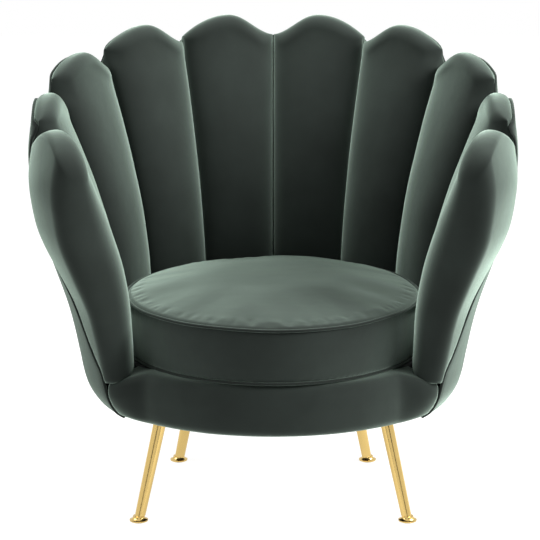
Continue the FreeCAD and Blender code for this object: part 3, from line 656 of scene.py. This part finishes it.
def velvet(name="green_velvet", lift=1.0, sheen=1.0):
    """Short-pile velvet: dark straight on, bright where light grazes the pile, with brushed patches of nap."""
    material, tree, shader = node_material(name)
    if tree is None:
        return material
    paint = colours()
    place = tree.nodes.new("ShaderNodeTexCoord").outputs["Object"]
    patches = noise_node(tree, 9.0, 3.0, place, 0.6)
    dark = [channel * 0.72 * lift for channel in paint.velvet]
    light = [channel * 1.45 * lift for channel in paint.velvet]
    nap = ramp_node(tree, patches.outputs["Fac"], ((0.32, dark), (0.70, light)))
    tree.links.new(nap.outputs["Color"], shader.inputs["Base Color"])
    pile = noise_node(tree, 1400.0, 2.0, place)
    soft = noise_node(tree, 38.0, 2.0, place)
    first = bump_node(tree, soft.outputs["Fac"], 0.25, 0.0015)
    second = bump_node(tree, pile.outputs["Fac"], 0.35, 0.0004, first)
    tree.links.new(second.outputs["Normal"], shader.inputs["Normal"])
    shader.inputs["Roughness"].default_value = 0.85
    shader.inputs["Specular IOR Level"].default_value = 0.15
    shader.inputs["Sheen Weight"].default_value = sheen
    shader.inputs["Sheen Roughness"].default_value = 0.44
    shader.inputs["Sheen Tint"].default_value = (*paint.velvet_sheen, 1)
    return material


def brass():
    material, tree, shader = node_material("polished_brass")
    if tree is None:
        return material
    place = tree.nodes.new("ShaderNodeTexCoord").outputs["Object"]
    haze = noise_node(tree, 60.0, 3.0, place)
    gloss = ramp_node(tree, haze.outputs["Fac"], ((0.3, (0.16,) * 3), (0.7, (0.24,) * 3)))
    tree.links.new(gloss.outputs["Color"], shader.inputs["Roughness"])
    fine = noise_node(tree, 900.0, 2.0, place)
    bump = bump_node(tree, fine.outputs["Fac"], 0.008, 0.0001)
    tree.links.new(bump.outputs["Normal"], shader.inputs["Normal"])
    shader.inputs["Base Color"].default_value = (*colours().brass, 1)
    shader.inputs["Metallic"].default_value = 1.0
    return material


def plywood():
    material, tree, shader = node_material("birch_plywood")
    if tree is None:
        return material
    place = tree.nodes.new("ShaderNodeTexCoord").outputs["Object"]
    stretch = tree.nodes.new("ShaderNodeMapping")
    stretch.inputs["Scale"].default_value = (1.0, 14.0, 40.0)
    tree.links.new(place, stretch.inputs["Vector"])
    grain = noise_node(tree, 9.0, 6.0, stretch.outputs["Vector"], 0.6)
    base = colours().plywood
    dark = [c * 0.7 for c in base]
    light = [min(c * 1.2, 1.0) for c in base]
    tone = ramp_node(tree, grain.outputs["Fac"], ((0.3, dark), (0.7, light)))
    tree.links.new(tone.outputs["Color"], shader.inputs["Base Color"])
    bump = bump_node(tree, grain.outputs["Fac"], 0.2, 0.0006)
    tree.links.new(bump.outputs["Normal"], shader.inputs["Normal"])
    shader.inputs["Roughness"].default_value = 0.65
    return material


def woven(name, colour, scale):
    """Plain woven or matted cloth in one colour."""
    material, tree, shader = node_material(name)
    if tree is None:
        return material
    place = tree.nodes.new("ShaderNodeTexCoord").outputs["Object"]
    waves = []
    for direction in ("X", "Y"):
        wave = tree.nodes.new("ShaderNodeTexWave")
        wave.bands_direction = direction
        wave.inputs["Scale"].default_value = scale
        wave.inputs["Distortion"].default_value = 0.6
        tree.links.new(place, wave.inputs["Vector"])
        waves.append(wave)
    blend = tree.nodes.new("ShaderNodeMath")
    blend.operation = "MULTIPLY"
    tree.links.new(waves[0].outputs["Fac"], blend.inputs[0])
    tree.links.new(waves[1].outputs["Fac"], blend.inputs[1])
    tone = ramp_node(tree, blend.outputs[0], ((0.0, [c * 0.6 for c in colour]), (1.0, colour)))
    tree.links.new(tone.outputs["Color"], shader.inputs["Base Color"])
    bump = bump_node(tree, blend.outputs[0], 0.3, 0.0004)
    tree.links.new(bump.outputs["Normal"], shader.inputs["Normal"])
    shader.inputs["Roughness"].default_value = 0.9
    return material


def plain_solid(name, colour, roughness, metallic=0.0):
    """Nylon, steel or painted board: one colour with a slight mottle."""
    material, tree, shader = node_material(name)
    if tree is None:
        return material
    place = tree.nodes.new("ShaderNodeTexCoord").outputs["Object"]
    mottle = noise_node(tree, 140.0, 4.0, place)
    dark = [c * 0.85 for c in colour]
    light = [min(c * 1.1, 1.0) for c in colour]
    tone = ramp_node(tree, mottle.outputs["Fac"], ((0.3, dark), (0.7, light)))
    tree.links.new(tone.outputs["Color"], shader.inputs["Base Color"])
    bump = bump_node(tree, mottle.outputs["Fac"], 0.1, 0.0003)
    tree.links.new(bump.outputs["Normal"], shader.inputs["Normal"])
    shader.inputs["Roughness"].default_value = roughness
    shader.inputs["Metallic"].default_value = metallic
    return material


# Operators: one for each piece or group of like pieces


def velvet_piping(name, points, body, closed=False):
    """Piping covered in the chair's velvet, on one of its bodies."""
    # Painted shade: the piping gets a darker copy of the velvet with half the sheen, which dims the lines of
    # sheen along the seams.
    piping = piping_along(name, points, sizes().piping, velvet("green_velvet_piping_painted_shade", 0.9, 0.5), closed)
    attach(piping, body)
    return piping


class PieceOperator:
    """What the operators share."""

    bl_options = {"REGISTER", "UNDO"}

    def execute(self, context):
        self.make()
        return {"FINISHED"}


class TUBCHAIR_OT_petals(PieceOperator, bpy.types.Operator):
    """Ten stuffed velvet petals, each a closed form with a crowned front and a scalloped, rounded top"""

    bl_idname = "tubchair.petals"
    bl_label = "Petals"

    def make(self):
        for row, place_name in enumerate(PETALS):
            for side_name, side in SIDES:
                name = "petal_%s_%s" % (place_name, side_name)
                work = draped_grid(40, 84, lambda across, up: petal_spot(row, side, across, up), closed=True)
                for vert in work.verts:
                    inward = Vector((-vert.co.x, TUB_AXIS_Y - vert.co.y, 0)).normalized()
                    vert.co += inward * rough(vert.co + Vector((side, row, 0)), 14.0, 0.0010)
                petal = subdivided(new_object(name + "_velvet", finish_bmesh(work, name), velvet()))
                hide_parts(name)
                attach(petal, BODY)


class TUBCHAIR_OT_outer_covers(PieceOperator, bpy.types.Operator):
    """Ten panels of the outer cover, which roll under the frame at their feet and end in a scallop on top"""

    bl_idname = "tubchair.outer_covers"
    bl_label = "Outer covers"

    def make(self):
        size = sizes()
        for row, place_name in enumerate(PETALS):
            for side_name, side in SIDES:
                name = "outer_cover_%s_%s" % (place_name, side_name)
                work = draped_grid(24, 64, lambda across, up: cover_spot(row, side, across, up))
                mesh = finish_bmesh(work, name)
                # Painted shade: the outer covers get a darker copy of the velvet with less sheen, so the chair's
                # outside looks shaded.
                panel = new_object(name + "_velvet", mesh, velvet("green_velvet_outer_painted_shade", 0.9, 0.6))
                wall = panel.modifiers.new("Wall", "SOLIDIFY")
                wall.thickness = size.cover - COVER_SLACK
                sample = mesh.polygons[300]
                outwards = Vector((sample.center.x, sample.center.y - TUB_AXIS_Y, 0))
                wall.offset = -1 if sample.normal.dot(outwards) > 0 else 1
                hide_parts(name)
                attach(panel, BODY)


class TUBCHAIR_OT_groove_strips(PieceOperator, bpy.types.Operator):
    """The nine narrow strips between the petals, up each groove and over the lower neighbour's notch"""

    bl_idname = "tubchair.groove_strips"
    bl_label = "Groove strips"

    def make(self):
        size = sizes()
        for groove in range(-ARM, ARM + 1):
            row = abs(groove)
            angle = groove * PETAL_ANGLE
            # The middle strip stands higher, because both of its neighbours do.
            top = top_height(row, -1.0) - (0.010 if groove else 0.003)
            points = []
            for step in range(30):
                height = between(DECK + 0.004, top - 0.008, step / 29)
                radius = front_radius(row, -1.0, 1.0, height) + size.strip_depth
                points.append(tub_spot(angle, radius, height))
            back = outer_radius(row, top) - size.cover
            ahead = math.hypot(points[-1].x, points[-1].y - TUB_AXIS_Y)
            points += [tub_spot(angle, between(ahead, back, 0.5), top), tub_spot(angle, back, top - 0.006)]
            points.append(tub_spot(angle, back, top - 0.030))
            if row == ARM:
                # The last strip on either side shows outside too, down to where the arm's outer cover starts.
                points[-1] = tub_spot(angle, back + size.cover - size.piping, top - 0.015)
                low = between(UNDERSIDE, TIPS[ARM], ARM_COVER_TOP) - 0.006
                for step in range(1, 7):
                    height = between(top - 0.015, low, step / 6)
                    points.append(tub_spot(angle, outer_radius(ARM, height) - size.piping, height))
            label = "groove_strip_%d" % (groove + ARM + 1)
            # Painted shade: the strips get a darker copy of the velvet with little sheen, so the grooves show as
            # dark shaded lines.
            strip = piping_along(label, points, size.piping, velvet("green_velvet_strip_painted_shade", 0.8, 0.2))
            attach(strip, BODY)


class TUBCHAIR_OT_arm_piping(PieceOperator, bpy.types.Operator):
    """The piping down each arm's front edge, between its petal and its outer cover"""

    bl_idname = "tubchair.arm_piping"
    bl_label = "Arm piping"

    def make(self):
        size = sizes()
        top = between(DECK, TIPS[ARM], NOTCH_SHARE) - 0.012
        for side_name, side in SIDES:
            points = []
            for step in range(60):
                height = between(UNDERSIDE + 0.006, top, step / 59)
                angle = side * (arm_seam_angle(height) + math.degrees(size.piping * 0.6 / size.shell_narrow))
                points.append(tub_spot(angle, outer_radius(ARM, height) - size.piping * 0.5, height))
            piping = velvet_piping("arm_piping_%s" % side_name, points, BODY)
            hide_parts("arm_welt_%s" % side_name)


class TUBCHAIR_OT_front_rail(PieceOperator, bpy.types.Operator):
    """The upholstered front rail, bowed forwards under the cushion"""

    bl_idname = "tubchair.front_rail"
    bl_label = "Front rail"

    def make(self):
        work = draped_grid(96, 40, rail_spot, closed=True)
        for vert in work.verts:
            outward = Vector((vert.co.x, vert.co.y - FRONT_AXIS_Y, 0)).normalized()
            vert.co -= outward * abs(rough(vert.co, 11.0, 0.0016))
        rail = subdivided(new_object("front_rail_velvet", finish_bmesh(work, "front_rail_velvet"), velvet()))
        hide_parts("front_rail_cover")
        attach(rail, BODY)


class TUBCHAIR_OT_cushion(PieceOperator, bpy.types.Operator):
    """The loose round seat cushion: a crowned box cushion with piping on both seams and a zip at the back"""

    bl_idname = "tubchair.cushion"
    bl_label = "Seat cushion"

    def make(self):
        size = sizes()
        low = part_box("cushion_base")[0].z
        seam = middle_of("cushion_welt_top").z
        base_seam = middle_of("cushion_welt_base").z
        radius = CUSHION_RADIUS
        edge = radius - 0.003
        crown = size.cushion_crown
        profile = (
            (0.0, low), (edge * 0.5, low), (edge - 0.020, low + 0.0005), (edge - 0.006, low + 0.002),
            (edge - 0.002, base_seam), (edge, base_seam + 0.006),
            (radius - 0.0006, between(base_seam, seam, 0.3)), (radius, between(base_seam, seam, 0.55)),
            (radius - 0.0008, between(base_seam, seam, 0.8)), (edge, seam - 0.006), (edge - 0.003, seam),
            (edge - 0.008, seam + crown * 0.16), (edge * 0.93, seam + crown * 0.42),
            (edge * 0.80, seam + crown * 0.69), (edge * 0.60, seam + crown * 0.86),
            (edge * 0.38, seam + crown * 0.95), (edge * 0.18, seam + crown * 0.99), (0.0, seam + crown),
        )
        work = bmesh.new()
        verts = [work.verts.new((0, TUB_AXIS_Y - reach, height)) for reach, height in profile]
        edges = [work.edges.new((a, b)) for a, b in zip(verts, verts[1:])]
        bmesh.ops.spin(
            work, geom=verts + edges, cent=(0, TUB_AXIS_Y, 0), axis=(0, 0, 1), dvec=(0, 0, 0),
            angle=2 * math.pi, steps=120, use_merge=True, use_normal_flip=False, use_duplicate=False
        )
        bmesh.ops.remove_doubles(work, verts=work.verts, dist=0.0001)
        for vert in work.verts:
            if vert.co.z > base_seam:
                vert.co.z += rough(vert.co, 9.0, 0.0022)
        mesh = finish_bmesh(work, "cushion_velvet")
        cushion = new_object("cushion_velvet", mesh, velvet("green_velvet_cushion"))

        def at_seam(spot):
            away = math.hypot(spot.x, spot.y - TUB_AXIS_Y)
            near_seam = min(abs(spot.z - seam), abs(spot.z - base_seam)) < 0.005
            return away > edge - 0.012 and near_seam or spot.z < low + 0.004

        def on_crown(spot):
            return not at_seam(spot) and math.hypot(spot.x, spot.y - TUB_AXIS_Y) < edge - 0.028

        stuffed(cushion, at_seam, pressure=1.6, reach=0.008)
        smoothed(cushion, 30, on_crown)
        for vert in cushion.data.vertices:
            away = math.hypot(vert.co.x, vert.co.y - TUB_AXIS_Y)
            limit = radius + (0.002 if vert.co.y < TUB_AXIS_Y else -0.0004)
            if away > limit:
                vert.co.x *= limit / away
                vert.co.y = between(TUB_AXIS_Y, vert.co.y, limit / away)
        subdivided(cushion)
        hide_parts("cushion_core", "cushion_top", "cushion_border", "cushion_base")
        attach(cushion, CUSHION_BODY)
        for name, height, node in (("top", seam, "cushion_welt_top"), ("base", base_seam, "cushion_welt_base")):
            points = []
            for step in range(72):
                turn = step / 72 * 360
                spot = tub_spot(turn, edge - 0.0005, height)
                spot.z += rough(spot, 9.0, 0.0022) if name == "top" else 0.0
                points.append(spot)
            piping = velvet_piping("cushion_piping_" + name, points, CUSHION_BODY, closed=True)
            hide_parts(node)


class TUBCHAIR_OT_zip_tape(PieceOperator, bpy.types.Operator):
    """The woven tape of the cushion's zip, round the back of its border"""

    bl_idname = "tubchair.zip_tape"
    bl_label = "Zip tape"

    def make(self):
        low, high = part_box("zip_tape")
        radius = high.y - TUB_AXIS_Y
        reach = math.degrees(math.asin(high.x / radius))

        def tape_spot(across, up):
            middle = abs(up - 0.5) < 0.08
            return tub_spot(across * reach, radius - (0.0 if middle else 0.0005), between(low.z, high.z, up))

        mesh = finish_bmesh(draped_grid(96, 12, tape_spot), "zip_tape_woven")
        tape = new_object("zip_tape_woven", mesh, woven("woven_zip_tape", (0.010, 0.014, 0.012), 900.0))
        thickened(tape, 0.0010)
        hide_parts("zip_tape")
        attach(tape, CUSHION_BODY)


class TUBCHAIR_OT_deck(PieceOperator, bpy.types.Operator):
    """What the cushion lies on and what closes the frame: a covered pad, webbing and black cloth"""

    bl_idname = "tubchair.deck"
    bl_label = "Deck"

    def disc(self, name, node, material, thickness, wave, wider=0.0):
        """A round cloth or pad in a node's place, cut off along the rail and slightly uneven."""
        low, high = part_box(node)
        radius = (high.x - low.x) / 2 + wider
        limit = FRONT_AXIS_Y - low.y
        work = bmesh.new()
        bmesh.ops.create_circle(work, cap_ends=True, radius=radius, segments=96)
        for share in (0.03, 0.12, 0.25, 0.3, 0.4):
            middle = max(work.faces, key=lambda face: face.calc_area())
            bmesh.ops.inset_region(work, faces=[middle], thickness=radius * share)
        for vert in work.verts:
            vert.co.y += TUB_AXIS_Y
            from_front = Vector((vert.co.x, vert.co.y - FRONT_AXIS_Y))
            if from_front.length > limit:
                from_front *= limit / from_front.length
                vert.co.x, vert.co.y = from_front.x, FRONT_AXIS_Y + from_front.y
            vert.co.z = high.z - wave + rough(vert.co, 7.0, wave)
        made = new_object(name, finish_bmesh(work, name), material)
        if made.data.polygons[0].normal.z < 0:
            made.data.flip_normals()
        thickened(made, thickness)
        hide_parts(node)
        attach(made, BODY)
        return made

    def make(self):
        platform = woven("platform_cloth", (0.016, 0.021, 0.018), 700.0)
        pad_low, pad_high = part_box("deck_pad")
        pad = self.disc("deck_pad_cloth", "deck_pad", platform, pad_high.z - pad_low.z - 0.002, 0.0005, 0.022)
        lining = woven("black_lining_cloth", (0.012, 0.012, 0.012), 600.0)
        cloth = self.disc("dust_cover_cloth", "dust_cover", lining, 0.0006, 0.0002)
        self.webbing()

    def webbing(self):
        low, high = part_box("webbing")
        middle = (low.z + high.z) / 2
        material = woven("jute_webbing", (0.10, 0.09, 0.07), 420.0)
        straps = []
        # Every second strap runs from front to back, over and under those that run from side to side.
        for index in range(8):
            along = index % 2
            offset = (index // 2 - 1.5) * STRAP_PITCH
            length = math.sqrt((high.x - low.x) ** 2 / 4 - offset * offset)
            front_end = max(-length, low.y - TUB_AXIS_Y) if along else -length

            def strap_spot(across, up):
                run = between(front_end, length, up)
                weave = math.cos(run / STRAP_PITCH * math.pi + math.pi * (index // 2 + along)) * STRAP_WAVE
                side = offset + across * STRAP_WIDTH / 2
                if along:
                    return Vector((side, TUB_AXIS_Y + run, middle + weave))
                return Vector((run, TUB_AXIS_Y + side, middle + weave))

            work = draped_grid(2, 60, strap_spot)
            straps.append(new_object("strap_%d" % (index + 1), finish_bmesh(work, "strap"), material))
            thickened(straps[-1], 0.0012)
            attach(straps[-1], BODY)
        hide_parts("webbing")


class TUBCHAIR_OT_frame_finish(PieceOperator, bpy.types.Operator):
    """Finishes for the solids that stay: legs, feet, plates, plywood, ribs under cloth and the zip's metal"""

    bl_idname = "tubchair.frame_finish"
    bl_label = "Frame and legs"

    def make(self):
        finishes = (
            (("leg_plate", "plate_screws"), plain_solid("zinc_plate", (0.45, 0.45, 0.46), 0.35, 1.0)),
            (("leg_", "foot_"), brass()),
            (("glide_",), plain_solid("nylon_glide", (0.015, 0.015, 0.015), 0.55)),
            (("ribs",), woven("rib_cloth", (0.014, 0.018, 0.016), 700.0)),
            (("staves", "base_ring", "seat_ring", "front_rail_frame"), plywood()),
            (("zip_slider", "zip_pull"), plain_solid("dark_zip_metal", (0.03, 0.035, 0.032), 0.4, 0.6)),
        )
        for name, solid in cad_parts.items():
            for starts, material in finishes:
                if name.startswith(starts):
                    for index in range(len(solid.material_slots)):
                        solid.material_slots[index].material = material
                    break


class TUBCHAIR_OT_stage(PieceOperator, bpy.types.Operator):
    """Pale floor, soft lamps, white surroundings and the camera"""

    bl_idname = "tubchair.stage"
    bl_label = "Stage"

    def make(self):
        self.floor()
        self.lamps()
        self.flags()
        self.world()
        self.camera()

    def any_ray(self, tree, first, *others):
        """A value that is 1 for rays of any of the kinds named and 0 for all others."""
        rays = tree.nodes.new("ShaderNodeLightPath")
        result = rays.outputs[first]
        for kind in others:
            either = tree.nodes.new("ShaderNodeMath")
            either.operation = "MAXIMUM"
            tree.links.new(result, either.inputs[0])
            tree.links.new(rays.outputs[kind], either.inputs[1])
            result = either.outputs[0]
        return result

    def floor(self):
        work = bmesh.new()
        bmesh.ops.create_grid(work, x_segments=1, y_segments=1, size=6.0)
        mesh = bpy.data.meshes.new("floor")
        work.to_mesh(mesh)
        work.free()
        material, tree, shader = node_material("floor_white")
        shader.inputs["Base Color"].default_value = (0.9, 0.9, 0.9, 1)
        shader.inputs["Roughness"].default_value = 0.9
        glow = tree.nodes.new("ShaderNodeEmission")
        glow.inputs["Strength"].default_value = 1.36
        seen = self.any_ray(tree, "Is Camera Ray", "Is Glossy Ray")
        part = tree.nodes.new("ShaderNodeMath")
        part.operation = "MULTIPLY"
        part.inputs[1].default_value = 0.70
        tree.links.new(seen, part.inputs[0])
        mix = tree.nodes.new("ShaderNodeMixShader")
        tree.links.new(part.outputs[0], mix.inputs["Fac"])
        tree.links.new(shader.outputs["BSDF"], mix.inputs[1])
        tree.links.new(glow.outputs["Emission"], mix.inputs[2])
        tree.links.new(mix.outputs["Shader"], tree.nodes["Material Output"].inputs["Surface"])
        floor = new_object("floor", mesh, material)

    def lamp(self, name, place, target, size, power):
        light = bpy.data.lights.new(name, "AREA")
        light.shape = "RECTANGLE"
        light.size, light.size_y = size
        light.energy = power
        made = bpy.data.objects.new(name, light)
        made.location = place
        made.rotation_euler = (Vector(target) - Vector(place)).to_track_quat("-Z", "Y").to_euler()
        bpy.context.scene.collection.objects.link(made)

    def lamps(self):
        self.lamp("key_lamp", (2.2, -0.5, 1.8), (0, 0, 0.5), (1.2, 1.2), 120)
        self.lamp("fill_lamp", (-2.2, -0.8, 1.6), (0, 0, 0.5), (1.4, 1.4), 30)
        self.lamp("top_lamp", (0.0, 0.4, 2.6), (0, -0.05, 0.4), (1.6, 1.0), 60)

    def flags(self):
        """Two black boards beside the camera, which show only as dark lines in the brass."""
        material = plain_solid("black_flag", (0.004, 0.004, 0.004), 0.9)
        for side_name, side in SIDES:
            work = bmesh.new()
            bmesh.ops.create_grid(work, x_segments=1, y_segments=1, size=0.5)
            bmesh.ops.scale(work, vec=(0.45, 1.7, 1), verts=work.verts)
            bmesh.ops.rotate(work, matrix=Matrix.Rotation(math.radians(90), 3, "X"), verts=work.verts)
            bmesh.ops.rotate(work, matrix=Matrix.Rotation(math.radians(side * 45), 3, "Z"), verts=work.verts)
            bmesh.ops.translate(work, vec=(side * 0.85, -1.9, 0.5), verts=work.verts)
            flag = new_object("flag_" + side_name, finish_bmesh(work, "flag"), material)
            flag.visible_camera = False
            flag.visible_shadow = False

    def world(self):
        world = bpy.data.worlds.new("studio")
        bpy.context.scene.world = world
        world.use_nodes = True
        tree = world.node_tree
        ground = tree.nodes["Background"]
        ground.inputs["Color"].default_value = (1, 1, 1, 1)
        seen = self.any_ray(tree, "Is Camera Ray", "Is Transmission Ray", "Is Glossy Ray")
        level = tree.nodes.new("ShaderNodeMapRange")
        level.inputs["To Min"].default_value = 0.16
        level.inputs["To Max"].default_value = 1.0
        tree.links.new(seen, level.inputs["Value"])
        tree.links.new(level.outputs["Result"], ground.inputs["Strength"])
        bpy.context.scene.view_settings.view_transform = "Standard"

    def camera(self):
        lens = bpy.data.cameras.new("camera")
        lens.sensor_width = 36.0
        lens.lens = FOCAL_PIXELS / PHOTO_SIDE * lens.sensor_width
        lens.shift_x = (PHOTO_SIDE / 2 - VIEW_CENTRE[0]) / PHOTO_SIDE
        lens.shift_y = (VIEW_CENTRE[1] - PHOTO_SIDE / 2) / PHOTO_SIDE
        lens.clip_start, lens.clip_end = 0.1, 50.0
        made = bpy.data.objects.new("camera", lens)
        target = Vector((0, -0.030, 0.42))
        rise = math.radians(CAMERA_RISE)
        back = Vector((0, -math.cos(rise), math.sin(rise)))
        made.location = target + back * CAMERA_DISTANCE
        made.rotation_euler = (-back).to_track_quat("-Z", "Y").to_euler()
        bpy.context.scene.collection.objects.link(made)
        bpy.context.scene.camera = made


PIECES = (
    TUBCHAIR_OT_petals,
    TUBCHAIR_OT_groove_strips,
    TUBCHAIR_OT_outer_covers,
    TUBCHAIR_OT_arm_piping,
    TUBCHAIR_OT_front_rail,
    TUBCHAIR_OT_cushion,
    TUBCHAIR_OT_zip_tape,
    TUBCHAIR_OT_deck,
    TUBCHAIR_OT_frame_finish,
    TUBCHAIR_OT_stage,
)


class TUBCHAIR_PT_panel(bpy.types.Panel):
    """The chair's operators, sizes and colours"""

    bl_label = "Tub chair"
    bl_idname = "TUBCHAIR_PT_panel"
    bl_space_type = "VIEW_3D"
    bl_region_type = "UI"
    bl_category = "Tub chair"

    def draw(self, context):
        for group in (context.scene.tub_chair_sizes, context.scene.tub_chair_colours):
            for name in group.__annotations__:
                self.layout.prop(group, name)
        for piece in PIECES:
            self.layout.operator(piece.bl_idname)


CLASSES = (TubChairSizes, TubChairColours) + PIECES + (TUBCHAIR_PT_panel,)


def register():
    for made in CLASSES:
        bpy.utils.register_class(made)
    bpy.types.Scene.tub_chair_sizes = bpy.props.PointerProperty(type=TubChairSizes)
    bpy.types.Scene.tub_chair_colours = bpy.props.PointerProperty(type=TubChairColours)


def unregister():
    del bpy.types.Scene.tub_chair_colours
    del bpy.types.Scene.tub_chair_sizes
    for made in reversed(CLASSES):
        bpy.utils.unregister_class(made)


def main():
    register()
    bpy.ops.tubchair.petals()
    bpy.ops.tubchair.groove_strips()
    bpy.ops.tubchair.outer_covers()
    bpy.ops.tubchair.arm_piping()
    bpy.ops.tubchair.front_rail()
    bpy.ops.tubchair.cushion()
    bpy.ops.tubchair.zip_tape()
    bpy.ops.tubchair.deck()
    bpy.ops.tubchair.frame_finish()
    bpy.ops.tubchair.stage()


if __name__ == "__main__":
    main()
